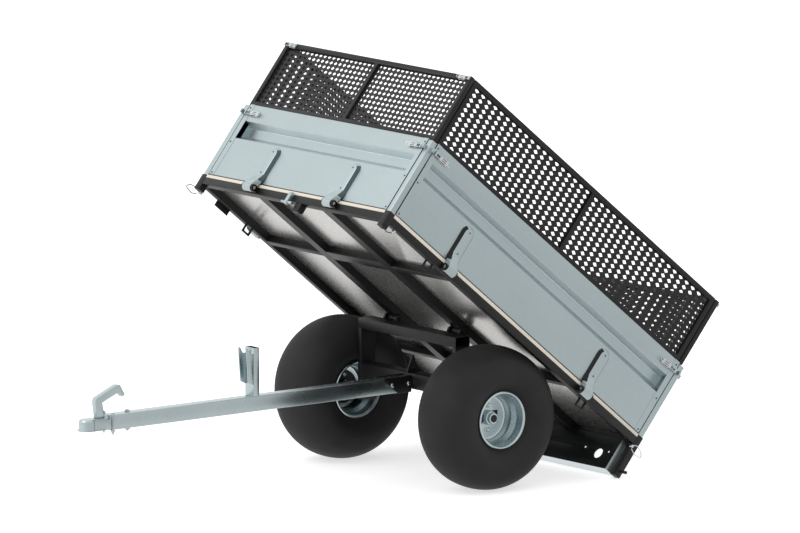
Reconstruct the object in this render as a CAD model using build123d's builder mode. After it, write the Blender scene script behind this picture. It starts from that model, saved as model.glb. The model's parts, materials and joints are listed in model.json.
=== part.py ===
from build123d import *
from math import cos, radians, sin
import os

# Small two-wheeled tipping trailer, its bed tipped back onto its rear legs.
# +X forward along the drawbar, +Y to the left, +Z up, millimetres, drawn with
# the axle above the origin; save() moves each piece by axle_x, so that the
# origin ends on the ground below the middle of the whole.
axle_x = -279.85

# Wheels
tyre_radius = 280.0
tyre_half_width = 136.0
wheel_y = 450.0
bead_radius = 104.0
flange_radius = 113.0
stub_radius = 15.0
wheel_sides = 36
hub_sides = 24

# Portal that carries the bed over the wheels
portal_x = -1.0
portal_depth = 70.0
portal_half = 305.0
portal_post = 20.0
portal_top = 572.0
portal_tube = 40.0
portal_foot = 250.0
beam_size = 60.0
beam_x = 4.0
beam_z = 367.0

# Drawbar and what stands on it
bar_width = 50.0
bar_height = 58.0
bar_z = 356.0
bar_front = 1480.0
bar_wall = 3.0
socket_front = 164.0
coupling_x = 1572.0
ball_radius = 25.0
post_x = 783.0
post_depth = 26.0
post_width = 56.0

# Tipping bed, in its own frame: u forward, v left, w up from the top of its rails
bed_tilt = 39.2
bed_x = -38.6
bed_z = 638.5
half_length = 794.0
half_width = 584.0
rail_out = 3.0
rail = 30.0
inner_width = 50.0
inner_v = 198.0
floor_thick = 13.0
socket = 30.0
socket_top = 12.0
socket_foot = -55.0
leg_foot = -173.9
post = 25.0
post_top = 338.0
pivot_u = -60.0
pivot_w = -36.0
pin_radius = 6.0

# Drop sides
gap = 5.0
panel_low = floor_thick + gap
panel_high = 343.0
panel_deep = 22.0
sheet = 3.0
stile = 25.0
recess = 38.0
mesh_inset = 8.0
mesh_tube = 20.0
mesh_top = 637.0
mesh_across = 5
mesh_open = 0.74
hinge_out = 25.0
hinge_w = -14.5
hinge_radius = 13.7
strap_width = 48.0
strap_half = 33.0
strap_high = 13.0
strap_slope = 45
strap_wall = 3.0
strap_low = 43.0
strap_top = 182.0
latch_w = 303.0
latch_in = 60.0
hook_out = 13.0
gusset_high = 68.0

os.makedirs("parts", exist_ok=True)

tip = radians(bed_tilt)
BED = Plane(origin=(bed_x, 0, bed_z), x_dir=(cos(tip), 0, sin(tip)), z_dir=(-sin(tip), 0, cos(tip)))
rail_u = half_length + rail_out
rail_v = half_width + rail_out


def bed_point(u, v, w):
    """A point given in the bed's frame, in the trailer's frame."""
    return BED.from_local_coords(Vector(u, v, w))


def bed_plane(u, v, w, along, normal):
    """A plane at a point of the bed, its directions given in the bed's frame."""
    origin = bed_point(0, 0, 0)
    return Plane(
        origin=bed_point(u, v, w),
        x_dir=bed_point(*along) - origin,
        z_dir=bed_point(*normal) - origin,
    )


def save(part, label):
    """Move a finished piece to its place, label it and write it."""
    placed = part.moved(Location((axle_x, 0, 0)))
    placed.label = label
    export_step(placed, f"parts/{label}.step")


# Wheels, many-sided: closed sections as rows of distance out from the middle and radius
tyre_section = (
    (-110, 116), (-129, 146), (-tyre_half_width, 186), (-128, 222), (-106, 248), (-66, 270),
    (-22, tyre_radius), (22, tyre_radius), (66, 270), (106, 248), (128, 222), (tyre_half_width, 186),
    (129, 146), (110, 116), (110, bead_radius), (92, bead_radius), (117, 146), (122, 186), (104, 230),
    (60, 258), (-60, 258), (-104, 230), (-122, 186), (-117, 146), (-92, bead_radius), (-110, bead_radius),
)
rim_section = (
    (-114, flange_radius), (-110, flange_radius), (-110, bead_radius), (-60, bead_radius), (-40, 90),
    (40, 90), (60, bead_radius), (110, bead_radius), (110, flange_radius), (114, flange_radius),
    (114, 100), (62, 100), (42, 86.5), (28, 86.5), (20, 62), (20, 32), (16, 32), (16, 64), (24, 86.5),
    (-42, 86.5), (-62, 100), (-114, 100),
)
hub_section = (
    (-70, 0), (-70, 31.9), (8, 31.9), (8, 50), (16, 50), (16, 31.9), (42, 30), (54, 22), (54, 0),
)


def faceted(section, sign, sides=wheel_sides):
    """A solid of flat faces about the axle line of one side, from its section."""
    turns = [radians(360 * side / sides) for side in range(sides + 1)]
    rows = [
        [
            Vector(radius * cos(turn), sign * (wheel_y + out), tyre_radius + radius * sin(turn))
            for turn in turns
        ]
        for out, radius in section
    ]
    faces = []
    for row, next_row, (_, radius), (_, next_radius) in zip(
        rows, rows[1:] + rows[:1], section, section[1:] + section[:1]
    ):
        if radius == next_radius == 0:
            continue
        for a, b, c, d in zip(row, row[1:], next_row[1:], next_row):
            corners = [a, b, c, d]
            if radius == 0:
                corners = [a, c, d]
            if next_radius == 0:
                corners = [a, b, c]
            faces.append(Face(Wire.make_polygon(corners)))
    return Solid(Shell(faces))


for side, sign in (("left", 1), ("right", -1)):
    save(faceted(tyre_section, sign), f"tyre_{side}")
    save(faceted(rim_section, sign), f"rim_{side}")
    with BuildPart() as hub:
        add(faceted(hub_section, sign, hub_sides))
        with BuildSketch(Plane.XZ.offset(-sign * (wheel_y - 75))):
            with Locations((0, tyre_radius)):
                Circle(stub_radius + 0.05)
        extrude(amount=-sign * 126, mode=Mode.SUBTRACT)
    save(hub.part, f"hub_{side}")

# Stub axles, from the portal's feet into the hubs
with BuildPart() as stubs:
    for sign in (1, -1):
        with BuildSketch(Plane.XZ.offset(-sign * portal_half)):
            with Locations((0, tyre_radius)):
                Circle(stub_radius)
        extrude(amount=-sign * (wheel_y + 50 - portal_half))
save(stubs.part, "stub_axles")

# Portal: two uprights, a top tube and the axle beam
with BuildPart() as uprights:
    upright_height = portal_top - portal_tube - portal_foot
    for sign in (1, -1):
        with Locations((portal_x, sign * (portal_half - portal_post / 2), portal_foot + upright_height / 2)):
            Box(portal_depth, portal_post, upright_height)
save(uprights.part, "portal_uprights")

with BuildPart() as top_tube:
    with Locations((portal_x, 0, portal_top - portal_tube / 2)):
        Box(portal_depth, 2 * portal_half, portal_tube)
        Box(portal_depth - 5, 2 * portal_half, portal_tube - 5, mode=Mode.SUBTRACT)
save(top_tube.part, "portal_top")

with BuildPart() as beam:
    beam_length = 2 * (portal_half - portal_post)
    with Locations((beam_x, 0, beam_z)):
        Box(beam_size, beam_length, beam_size)
        Box(beam_size - 6, beam_length, beam_size - 6, mode=Mode.SUBTRACT)
save(beam.part, "axle_beam")

with BuildPart() as gusset:
    with BuildSketch(Plane.XZ):
        with Locations((beam_x, beam_z + beam_size / 2)):
            with Locations((0, gusset_high / 2)):
                Trapezoid(beam_size, gusset_high, 67)
            with Locations((0, 22)):
                RegularPolygon(15, 3, rotation=90, mode=Mode.SUBTRACT)
    extrude(amount=4, both=True)
save(gusset.part, "beam_gusset")

# Ears behind the top tube, with the pins that the bed turns on
pivot = bed_point(pivot_u, 0, pivot_w)
portal_back = portal_x - portal_depth / 2
ear_gap = 6.0
ear_thick = 8.0
ears_v = (
    inner_v - inner_width / 2 - ear_gap - ear_thick / 2,
    inner_v + inner_width / 2 + ear_gap + ear_thick / 2,
)
with BuildPart() as ears:
    for sign in (1, -1):
        for ear_v in ears_v:
            with BuildSketch(Plane.XZ.offset(-sign * ear_v)):
                with BuildLine():
                    Polyline(
                        (portal_back, portal_top), (portal_back - 8, pivot.Z + 15), (pivot.X + 6, pivot.Z + 18),
                        (pivot.X - 8, pivot.Z + 17), (pivot.X - 17, pivot.Z + 8), (pivot.X - 17, pivot.Z - 8),
                        (pivot.X - 8, pivot.Z - 17), (portal_back, portal_top - portal_tube), close=True,
                    )
                make_face()
            extrude(amount=ear_thick / 2, both=True)
        with BuildSketch(Plane.XZ.offset(-sign * (ears_v[0] - ear_thick / 2 - 6))):
            with Locations((pivot.X, pivot.Z)):
                Circle(pin_radius)
        extrude(amount=-sign * (ears_v[1] - ears_v[0] + ear_thick + 12))
save(ears.part, "pivot_ears")

# Drawbar with the socket that holds its rear end
beam_front = beam_x + beam_size / 2
with BuildPart() as drawbar:
    with BuildSketch(Plane.YZ.offset(beam_front)):
        with Locations((0, bar_z)):
            Rectangle(bar_width, bar_height)
            Rectangle(bar_width - 2 * bar_wall, bar_height - 2 * bar_wall, mode=Mode.SUBTRACT)
    extrude(amount=bar_front - beam_front)
save(drawbar.part, "drawbar")

with BuildPart() as bar_socket:
    for sign in (1, -1):
        with BuildSketch(Plane.XZ.offset(-sign * bar_width / 2)):
            with BuildLine():
                Polyline(
                    (beam_front, bar_z + 34), (socket_front, bar_z + 34), (socket_front + 4, bar_z + 28),
                    (socket_front - 66, bar_z - 31), (beam_front, bar_z - 31), close=True,
                )
            make_face()
        extrude(amount=-sign * 6)
save(bar_socket.part, "drawbar_socket")

# Coupling on the drawbar's nose and its lift handle
coupling_low = bar_z - 24
coupling_high = bar_z + 20
with BuildPart() as coupling:
    with BuildSketch(Plane.XY.offset(coupling_low)):
        with Locations((coupling_x, 0)):
            Circle(33)
        with Locations(((coupling_x + bar_front) / 2, 0)):
            Rectangle(coupling_x - bar_front, 60)
    extrude(amount=coupling_high - coupling_low)
    chamfer(coupling.faces().sort_by(Axis.Z)[-1].edges(), 7)
    with BuildSketch(Plane.XY.offset(coupling_low)):
        with Locations((coupling_x, 0)):
            Circle(38)
        with Locations((coupling_x - 32, 0)):
            Rectangle(64, 70)
    extrude(amount=4)
    with BuildSketch(Plane.YZ.offset(bar_front - 60)):
        with Locations((0, bar_z)):
            Rectangle(43.9, 51.9)
    extrude(amount=61)
    with BuildSketch(Plane.XY.offset(coupling_low)):
        with Locations((coupling_x, 0)):
            Circle(ball_radius)
    extrude(amount=30, mode=Mode.SUBTRACT)
save(coupling.part, "coupling")

with BuildPart() as handle:
    with BuildSketch(Plane.XZ):
        with BuildLine():
            Polyline(
                (1533, coupling_high), (1542, 438), (1537, 455), (1440, 496), (1424, 495), (1401, 455),
                (1413, 447), (1427, 462), (1440, 462), (1508, 434), (1496, coupling_high), close=True,
            )
        make_face()
    extrude(amount=12.5, both=True)
save(handle.part, "coupling_handle")

bar_top = bar_z + bar_height / 2
bar_low = bar_z - bar_height / 2
with BuildPart() as bolts:
    # Place along the bar, distance out, shank radius, overhang below and above, across the head
    for at_x, at_y, shank, below, above, head in (
        (1382, 0, 5, 14, 10, 11),
        (1472, bar_width / 2 + 4.05, 4, 16, 9, 8),
        (1472, -bar_width / 2 - 4.05, 4, 16, 9, 8),
    ):
        for plane_z, length in ((bar_low - 8, 8), (bar_top, 8)):
            with BuildSketch(Plane.XY.offset(plane_z)):
                with Locations((at_x, at_y)):
                    RegularPolygon(head, 6)
            extrude(amount=length)
        ends = ((bar_low - below, bar_top + above),)
        if at_y == 0:
            ends = ((bar_low - below, bar_low), (bar_top, bar_top + above))
        for low, high in ends:
            with BuildSketch(Plane.XY.offset(low)):
                with Locations((at_x, at_y)):
                    RegularPolygon(shank, 8)
            extrude(amount=high - low)
save(bolts.part, "coupling_bolts")

# Rest post on the drawbar: a channel open to the rear, and its notch plates
post_base = bar_z + bar_height / 2
post_head = pivot.Z + 1.0
with BuildPart() as rest_post:
    with BuildSketch(Plane.XY.offset(post_base)):
        with Locations((post_x, 0)):
            Rectangle(post_depth, post_width)
            Rectangle(post_depth - 6, post_width - 6, mode=Mode.SUBTRACT)
    extrude(amount=post_head - post_base)
save(rest_post.part, "rest_post")

post_front = post_x + post_depth / 2
with BuildPart() as notch_plates:
    for plate_y in (-24, 24):
        with BuildSketch(Plane.XZ.offset(-plate_y)):
            with BuildLine():
                Polyline(
                    (post_front, 430), (post_front + 26, 442), (post_front + 36, post_head),
                    (post_front + 28, post_head), (post_front + 15, post_head - 23),
                    (post_front, post_head - 23), close=True,
                )
            make_face()
        extrude(amount=2, both=True)
save(notch_plates.part, "rest_latch")

# Bed frame: rails between the corner sockets, inner members, floor
with BuildPart(BED) as side_rails:
    for sign in (1, -1):
        with Locations((0, sign * (rail_v - rail / 2), -rail / 2)):
            Box(2 * (rail_u - socket), rail, rail)
            Box(2 * (rail_u - socket), rail - 5, rail - 5, mode=Mode.SUBTRACT)
save(side_rails.part, "side_rails")

with BuildPart(BED) as end_rails:
    for sign in (1, -1):
        with Locations((sign * (rail_u - rail / 2), 0, -rail / 2)):
            Box(rail, 2 * (rail_v - socket), rail)
            Box(rail - 5, 2 * (rail_v - socket), rail - 5, mode=Mode.SUBTRACT)
save(end_rails.part, "end_rails")

inner_length = 2 * (rail_u - rail)
with BuildPart(BED) as longitudinals:
    for sign in (1, -1):
        with Locations((0, sign * inner_v, -rail / 2)):
            Box(inner_length, inner_width, rail)
            Box(inner_length, inner_width - 5, rail - 5, mode=Mode.SUBTRACT)
        with Locations(Location((pivot_u, sign * inner_v, pivot_w), (90, 0, 0))):
            Cylinder(12, inner_width)
            Cylinder(pin_radius + 0.05, inner_width, mode=Mode.SUBTRACT)
save(longitudinals.part, "longitudinals")

# Cross members: place along the bed, width in the middle bay, width in the outer bays
middle_bay = 2 * (inner_v - inner_width / 2)
outer_bay = rail_v - rail - inner_v - inner_width / 2
with BuildPart(BED) as cross_members:
    for cross_u, middle, outer in ((378, 54, 28), (-358, 28, 28)):
        with Locations((cross_u, 0, -rail / 2)):
            Box(middle, middle_bay, rail)
            Box(middle - 5, middle_bay, rail - 5, mode=Mode.SUBTRACT)
        for sign in (1, -1):
            with Locations((cross_u, sign * (rail_v - rail - outer_bay / 2), -rail / 2)):
                Box(outer, outer_bay, rail)
                Box(outer - 5, outer_bay, rail - 5, mode=Mode.SUBTRACT)
save(cross_members.part, "cross_members")

with BuildPart(BED) as floor:
    with Locations((0, 0, floor_thick / 2)):
        Box(2 * rail_u, 2 * rail_v, floor_thick)
    for sign_u in (1, -1):
        for sign_v in (1, -1):
            with Locations((sign_u * (rail_u - socket / 2), sign_v * (rail_v - socket / 2), floor_thick / 2)):
                Box(socket, socket, floor_thick, mode=Mode.SUBTRACT)
save(floor.part, "floor")

# Corner sockets; the rear pair run on down as the legs that the tipped bed stands on
with BuildPart(BED) as sockets:
    for sign_u, foot in ((1, socket_foot), (-1, leg_foot)):
        for sign_v in (1, -1):
            at = (sign_u * (rail_u - socket / 2), sign_v * (rail_v - socket / 2), (socket_top + foot) / 2)
            with Locations(at):
                Box(socket, socket, socket_top - foot)
            with Locations((at[0], at[1], socket_top)):
                Box(post, post, 60, align=(Align.CENTER, Align.CENTER, Align.MAX), mode=Mode.SUBTRACT)
    for sign in (1, -1):
        with Locations(Location((-rail_u + socket / 2, sign * (rail_v + 18), -150), (90, 0, 0))):
            Cylinder(6, 38)
save(sockets.part, "corner_sockets")

with BuildPart(BED) as posts:
    for sign_u in (1, -1):
        for sign_v in (1, -1):
            with Locations((sign_u * (rail_u - socket / 2), sign_v * (rail_v - socket / 2), socket_top - 60)):
                Box(post, post, post_top - socket_top + 60, align=(Align.CENTER, Align.CENTER, Align.MIN))
                Box(post - 5, post - 5, 420, align=(Align.CENTER, Align.CENTER, Align.MIN), mode=Mode.SUBTRACT)
save(posts.part, "corner_posts")

# Lamp panel: a pan open to the rear between the legs
pan_u = -746.0
pan_deep = 50.0
pan_low = -168.0
pan_half = 545.0
with BuildPart(BED) as lamp_panel:
    with Locations((pan_u - pan_deep / 2, 0, (pan_low - rail) / 2)):
        Box(pan_deep, 2 * pan_half, -rail - pan_low)
    with Locations((pan_u - pan_deep / 2 - 2.5, 0, (pan_low - rail) / 2)):
        Box(pan_deep, 2 * pan_half - 5, -rail - pan_low - 5, mode=Mode.SUBTRACT)
    # Across the bed, height, radius
    for hole_v, hole_w, hole_r in ((457, -110, 21), (366, -95, 4), (509, -95, 4)):
        for sign in (1, -1):
            with Locations(Location((pan_u, sign * hole_v, hole_w), (0, 90, 0))):
                Cylinder(hole_r, 20, mode=Mode.SUBTRACT)
save(lamp_panel.part, "lamp_panel")

# Small fittings of the bed
with BuildPart(BED) as loops:
    for loop_u in (497, -470):
        for sign in (1, -1):
            with Locations((loop_u, sign * (rail_v - rail + 4), -rail)):
                with Locations((-17, 0, 0), (17, 0, 0)):
                    Box(7, 7, 34, align=(Align.CENTER, Align.CENTER, Align.MAX))
                with Locations((0, 0, -34)):
                    Box(41, 7, 7, align=(Align.CENTER, Align.CENTER, Align.MIN))
save(loops.part, "tie_loops")

with BuildPart(BED) as catch:
    with BuildSketch(Plane(bed_point(0, 0, 0), x_dir=BED.x_dir, z_dir=-BED.y_dir)):
        with BuildLine():
            Polyline(
                (rail_u, 2), (rail_u + 15, 2), (rail_u + 21, -6), (rail_u + 21, -50),
                (rail_u + 7, -50), (rail_u + 7, -28), (rail_u, -28), close=True,
            )
        make_face()
    extrude(amount=8, both=True)
    with Locations(Location((rail_u + 13, 0, -42), (90, 0, 0))):
        Cylinder(5, 64)
save(catch.part, "tip_striker")

with BuildPart(BED) as housing:
    with Locations((rail_u - 16, 53, -rail)):
        Box(30, 36, 36, align=(Align.CENTER, Align.CENTER, Align.MAX))
        chamfer(housing.edges().filter_by(Axis.Y).sort_by(Axis.Z)[0], 8)
save(housing.part, "latch_housing")

with BuildPart(BED) as plate:
    with Locations((633, -rail_v, -5)):
        Box(76, 4, 46, align=(Align.CENTER, Align.MAX, Align.MAX))
save(plate.part, "side_plate")

# Drop sides: name, direction it faces from +u, distance of its outer face, half length, strap places
sides = (
    ("left", 90, half_width, rail_u - socket - 2.5, (-428, 428)),
    ("right", -90, half_width, rail_u - socket - 2.5, (-428, 428)),
    ("front", 0, half_length, rail_v - socket - 2.5, (-249, 249)),
    ("rear", 180, half_length, rail_v - socket - 2.5, (-249, 249)),
)
panel_line = (
    (-panel_deep, panel_low), (0, panel_low), (0, 190), (-recess, 216.5),
    (-recess, 256), (0, 270), (0, panel_high), (-panel_deep, panel_high),
)
# Foot of a strap from the side: distance out from the panel, height
strap_foot = ((0, 50), (13, 50), (42, -8), (25, hinge_w), (12, -8), (9, 18), (0, 20))
strap_foot_hollow = ((-1, 42), (11, 42), (38, -10), (25, hinge_w - 2), (10, -10), (7, 17), (-1, 17))
for name, facing, distance, half, straps in sides:
    out = (cos(radians(facing)), sin(radians(facing)), 0)
    along = (out[1], -out[0], 0)
    base = (out[0] * distance, out[1] * distance, 0)
    wall = bed_plane(*base, along, (0, 0, 1))
    section = bed_plane(*base, out, along)

    with BuildPart(wall) as panel:
        with BuildSketch(section):
            with BuildLine():
                Polyline(*panel_line)
                offset(amount=sheet, side=Side.LEFT)
            make_face()
        extrude(amount=half - stile, both=True)
        for sign in (1, -1):
            with Locations((sign * (half - stile / 2), -panel_deep / 2, (panel_low + panel_high) / 2)):
                Box(stile, panel_deep, panel_high - panel_low)
            with Locations((sign * (half - stile + sheet / 2), -(recess + sheet) / 2, 230)):
                Box(sheet, recess + sheet, 86)
    save(panel.part, f"{name}_panel")

    with BuildPart(wall) as strap_pair:
        for strap_x in straps:
            middle = (base[0] + along[0] * strap_x, base[1] + along[1] * strap_x, 0)
            eye = bed_plane(*middle, out, along)
            # Tapered channel with a rounded top, on the panel
            for inset, mode in ((0, Mode.ADD), (strap_wall, Mode.SUBTRACT)):
                with BuildSketch(bed_plane(*middle, (-along[0], -along[1], 0), out)):
                    with Locations((0, strap_top - strap_half)):
                        RegularPolygon(strap_half - inset, 12)
                    with Locations((0, (strap_top - strap_half + strap_low + inset) / 2)):
                        Rectangle(2 * (strap_half - inset), strap_top - strap_half - strap_low - inset)
                extrude(amount=strap_high - inset, taper=strap_slope, mode=mode)
            # Foot that flares out to the eye, open at the back
            for line, width, mode in (
                (strap_foot, strap_width, Mode.ADD),
                (strap_foot_hollow, strap_width - 2 * strap_wall, Mode.SUBTRACT),
            ):
                with BuildSketch(eye):
                    with BuildLine():
                        Polyline(*line, close=True)
                    make_face()
                extrude(amount=width / 2, both=True, mode=mode)
            with BuildSketch(eye):
                with Locations((hinge_out, hinge_w)):
                    RegularPolygon(17, 16)
            extrude(amount=strap_width / 2, both=True)
            with BuildSketch(eye):
                with Locations((hinge_out, hinge_w)):
                    Circle(hinge_radius + 0.05)
            extrude(amount=strap_width / 2, both=True, mode=Mode.SUBTRACT)
    save(strap_pair.part, f"{name}_straps")

    with BuildPart(wall) as latches:
        for sign in (1, -1):
            with Locations((sign * (half - latch_in), 0, latch_w)):
                Box(46, 6, 28, align=(Align.CENTER, Align.MIN, Align.CENTER))
                Box(54, 15, 12, align=(Align.CENTER, Align.MIN, Align.CENTER))
            # Wire loop, from the lever round the hook on the post
            with Locations((sign * (half + hook_out - 34), 13, latch_w)):
                Box(88, 4, 26, align=(Align.CENTER, Align.MIN, Align.CENTER))
                Box(80, 4, 18, align=(Align.CENTER, Align.MIN, Align.CENTER), mode=Mode.SUBTRACT)
            with Locations((sign * (half - latch_in), 13, latch_w)):
                Box(30, 4, 22, align=(Align.CENTER, Align.MIN, Align.CENTER))
    save(latches.part, f"{name}_latches")

    mesh_half = distance_half = (half_width if abs(out[0]) > 0.5 else half_length) - mesh_inset
    if abs(out[1]) > 0.5:
        mesh_half = half_length - mesh_inset - mesh_tube - gap
    mesh_mid = (panel_high + mesh_top) / 2
    mesh_y = -mesh_inset - mesh_tube / 2
    with BuildPart(wall) as mesh_frame:
        with Locations((0, mesh_y, mesh_mid)):
            Box(2 * mesh_half, mesh_tube, mesh_top - panel_high)
            for sign in (1, -1):
                with Locations((sign * (mesh_half - mesh_tube / 2) / 2, 0, 0)):
                    Box(
                        mesh_half - 1.5 * mesh_tube, mesh_tube, mesh_top - panel_high - 2 * mesh_tube,
                        mode=Mode.SUBTRACT,
                    )
    save(mesh_frame.part, f"{name}_mesh_frame")

    bay = mesh_half - 1.5 * mesh_tube
    mesh_row = (mesh_top - panel_high - 2 * mesh_tube) / 3
    with BuildPart(wall) as mesh_sheet:
        for sign in (1, -1):
            with Locations((sign * (mesh_half - mesh_tube / 2) / 2, mesh_y, mesh_mid)):
                Box(mesh_half - 1.5 * mesh_tube, 2, mesh_top - panel_high - 2 * mesh_tube)
                with GridLocations(bay / mesh_across, 0, mesh_across, 1):
                    for row in range(-1, 2):
                        with Locations((0, 0, row * mesh_row)):
                            Box(bay / mesh_across * mesh_open, 2, mesh_row * mesh_open, mode=Mode.SUBTRACT)
    save(mesh_sheet.part, f"{name}_mesh")

# Hooks on the corner posts, that the latches' loops go round
with BuildPart(BED) as hooks:
    for name, facing, distance, half, straps in sides:
        with Locations(Location((0, 0, latch_w), (0, 0, facing - 90))):
            for sign in (1, -1):
                with Locations((sign * (half + hook_out), distance + 0.5, 0)):
                    Box(8, 18, 16, align=(Align.CENTER, Align.MIN, Align.CENTER))
save(hooks.part, "latch_hooks")

# Hinge pins of the four sides, on lugs from the rails
with BuildPart() as hinge_pins:
    for name, facing, distance, half, straps in sides:
        out = (cos(radians(facing)), sin(radians(facing)), 0)
        along = (out[1], -out[0], 0)
        for strap_x in straps:
            eye = bed_plane(
                out[0] * distance + along[0] * strap_x, out[1] * distance + along[1] * strap_x, 0, out, along
            )
            with BuildSketch(eye):
                with Locations((hinge_out, hinge_w)):
                    Circle(hinge_radius)
            extrude(amount=34, both=True)
            for sign in (1, -1):
                with BuildSketch(eye.offset(sign * 30)):
                    with Locations(((rail_out + hinge_out) / 2, hinge_w)):
                        Rectangle(hinge_out - rail_out, 22)
                extrude(amount=4, both=True)
save(hinge_pins.part, "hinge_pins")
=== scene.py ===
import bmesh
import bpy
import json
import math
from mathutils import Matrix, Vector


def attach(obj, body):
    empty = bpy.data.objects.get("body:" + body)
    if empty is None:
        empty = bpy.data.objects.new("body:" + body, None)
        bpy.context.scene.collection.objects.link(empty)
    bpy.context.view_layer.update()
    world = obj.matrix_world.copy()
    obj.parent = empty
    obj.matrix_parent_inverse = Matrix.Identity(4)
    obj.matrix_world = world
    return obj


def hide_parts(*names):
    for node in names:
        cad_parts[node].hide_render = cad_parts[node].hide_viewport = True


# Looks of the tipping trailer. Lengths are in metres, in the CAD's frame.

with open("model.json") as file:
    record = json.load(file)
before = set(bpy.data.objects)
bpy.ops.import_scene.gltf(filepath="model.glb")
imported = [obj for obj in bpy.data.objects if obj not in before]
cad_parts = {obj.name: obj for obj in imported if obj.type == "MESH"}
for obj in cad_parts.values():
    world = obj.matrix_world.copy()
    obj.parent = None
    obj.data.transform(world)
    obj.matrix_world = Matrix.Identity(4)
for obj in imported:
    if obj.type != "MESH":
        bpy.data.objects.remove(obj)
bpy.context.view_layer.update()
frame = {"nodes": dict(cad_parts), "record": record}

# Places shared with the CAD source
AXLE_X = -0.27985
BED_TILT = math.radians(39.2)
BED_O = Vector((-0.0386 + AXLE_X, 0, 0.6385))
U = Vector((math.cos(BED_TILT), 0, math.sin(BED_TILT)))
V = Vector((0, 1, 0))
W = Vector((-math.sin(BED_TILT), 0, math.cos(BED_TILT)))
HALF_LENGTH = 0.794
HALF_WIDTH = 0.584
PANEL_HIGH = 0.343
MESH_TOP = 0.637


def basis(origin, x, y, z):
    """Matrix with the given origin and axes."""
    m = Matrix((x, y, z)).transposed().to_4x4()
    m.translation = origin
    return m


BED = basis(BED_O, U, V, W)
UP = BED.to_3x3() @ Vector((0, 0, 1))
FORWARD = BED.to_3x3() @ Vector((1, 0, 0))

# Outward direction of each drop side, distance of its outer face from the bed's middle
SIDES = {
    "left": (V, HALF_WIDTH),
    "right": (-V, HALF_WIDTH),
    "front": (U, HALF_LENGTH),
    "rear": (-U, HALF_LENGTH),
}


def wall(name):
    """Frame of a drop side: x along it, y outward from its face, z up it."""
    out, distance = SIDES[name]
    return basis(BED_O + out * distance, out.cross(W), out, W)


# Materials


class Nodes:
    """A small builder for one material's node tree."""

    def __init__(self, name):
        self.mat = bpy.data.materials.new(name)
        self.mat.use_nodes = True
        self.tree = self.mat.node_tree
        self.shader = self.tree.nodes["Principled BSDF"]

    def add(self, kind, **settings):
        """A new node, with its inputs or its own properties set."""
        node = self.tree.nodes.new(kind)
        for key, value in settings.items():
            if key in node.inputs:
                node.inputs[key].default_value = value
            else:
                setattr(node, key, value)
        return node

    def link(self, a, b):
        """Join an output to an input."""
        self.tree.links.new(a, b)

    def coords(self, scale=(1, 1, 1)):
        """Object coordinates, stretched by scale."""
        mapping = self.add("ShaderNodeMapping")
        mapping.inputs["Scale"].default_value = scale
        self.link(self.add("ShaderNodeTexCoord").outputs["Object"], mapping.inputs["Vector"])
        return mapping.outputs["Vector"]

    def noise(self, scale, detail=3.0, rough=0.5, stretch=(1, 1, 1)):
        """Noise in object space."""
        node = self.add("ShaderNodeTexNoise", Scale=scale, Detail=detail, Roughness=rough)
        self.link(self.coords(stretch), node.inputs["Vector"])
        return node.outputs["Fac"]

    def ramp(self, factor, stops):
        """Colour ramp over a factor. stops holds (place, colour)."""
        node = self.add("ShaderNodeValToRGB")
        elements = node.color_ramp.elements
        while len(elements) < len(stops):
            elements.new(0.5)
        for element, (place, colour) in zip(elements, stops):
            element.position = place
            element.color = (*colour, 1)
        self.link(factor, node.inputs["Fac"])
        return node.outputs["Color"]

    def span(self, factor, low, high, start=0.0, end=1.0):
        """Map a factor to low..high."""
        node = self.add("ShaderNodeMapRange")
        node.inputs["From Min"].default_value = start
        node.inputs["From Max"].default_value = end
        node.inputs["To Min"].default_value = low
        node.inputs["To Max"].default_value = high
        self.link(factor, node.inputs["Value"])
        return node.outputs["Result"]

    def bump(self, height, strength, distance):
        """Bump from a height."""
        node = self.add("ShaderNodeBump")
        node.inputs["Strength"].default_value = strength
        node.inputs["Distance"].default_value = distance
        self.link(height, node.inputs["Height"])
        self.link(node.outputs["Normal"], self.shader.inputs["Normal"])


def galvanised(name, dark, light, rough):
    """Zinc-coated steel: faint spangle, soft clouds and a slightly uneven gloss."""
    n = Nodes(name)
    spangle = n.add("ShaderNodeTexVoronoi", Scale=70.0, feature="F1")
    n.link(n.coords(), spangle.inputs["Vector"])
    clouds = n.noise(3.0, 4.0, 0.55)
    mix = n.add("ShaderNodeMix", data_type="FLOAT")
    mix.inputs["Factor"].default_value = 0.16
    n.link(clouds, mix.inputs["A"])
    n.link(spangle.outputs["Color"], mix.inputs["B"])
    n.link(n.ramp(mix.outputs["Result"], ((0.3, dark), (0.7, light))), n.shader.inputs["Base Color"])
    n.link(n.span(clouds, rough - 0.03, rough + 0.04, 0.3, 0.7), n.shader.inputs["Roughness"])
    n.shader.inputs["Metallic"].default_value = 1.0
    n.bump(n.noise(160.0, 2.0), 0.04, 0.0003)
    return n.mat


def coated(name, dark, light, rough, grain, specular):
    """Powder coat or moulded plastic: fine grain over a slightly uneven colour."""
    n = Nodes(name)
    n.link(n.ramp(n.noise(7.0, 5.0), ((0.35, dark), (0.7, light))), n.shader.inputs["Base Color"])
    n.link(n.span(n.noise(35.0, 3.0), rough - 0.06, rough + 0.06), n.shader.inputs["Roughness"])
    n.shader.inputs["Specular IOR Level"].default_value = specular
    n.bump(n.noise(grain, 2.0), 0.12, 0.0003)
    return n.mat


def rubber_material():
    """Plain smooth tyre rubber with a faint bloom."""
    n = Nodes("tyre_rubber")
    n.link(
        n.ramp(n.noise(9.0, 5.0), ((0.35, (0.017, 0.017, 0.017)), (0.7, (0.022, 0.022, 0.022)))),
        n.shader.inputs["Base Color"],
    )
    n.link(n.span(n.noise(30.0, 4.0), 0.6, 0.7), n.shader.inputs["Roughness"])
    n.shader.inputs["Specular IOR Level"].default_value = 0.3
    n.bump(n.noise(700.0, 2.0), 0.1, 0.0004)
    return n.mat


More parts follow.
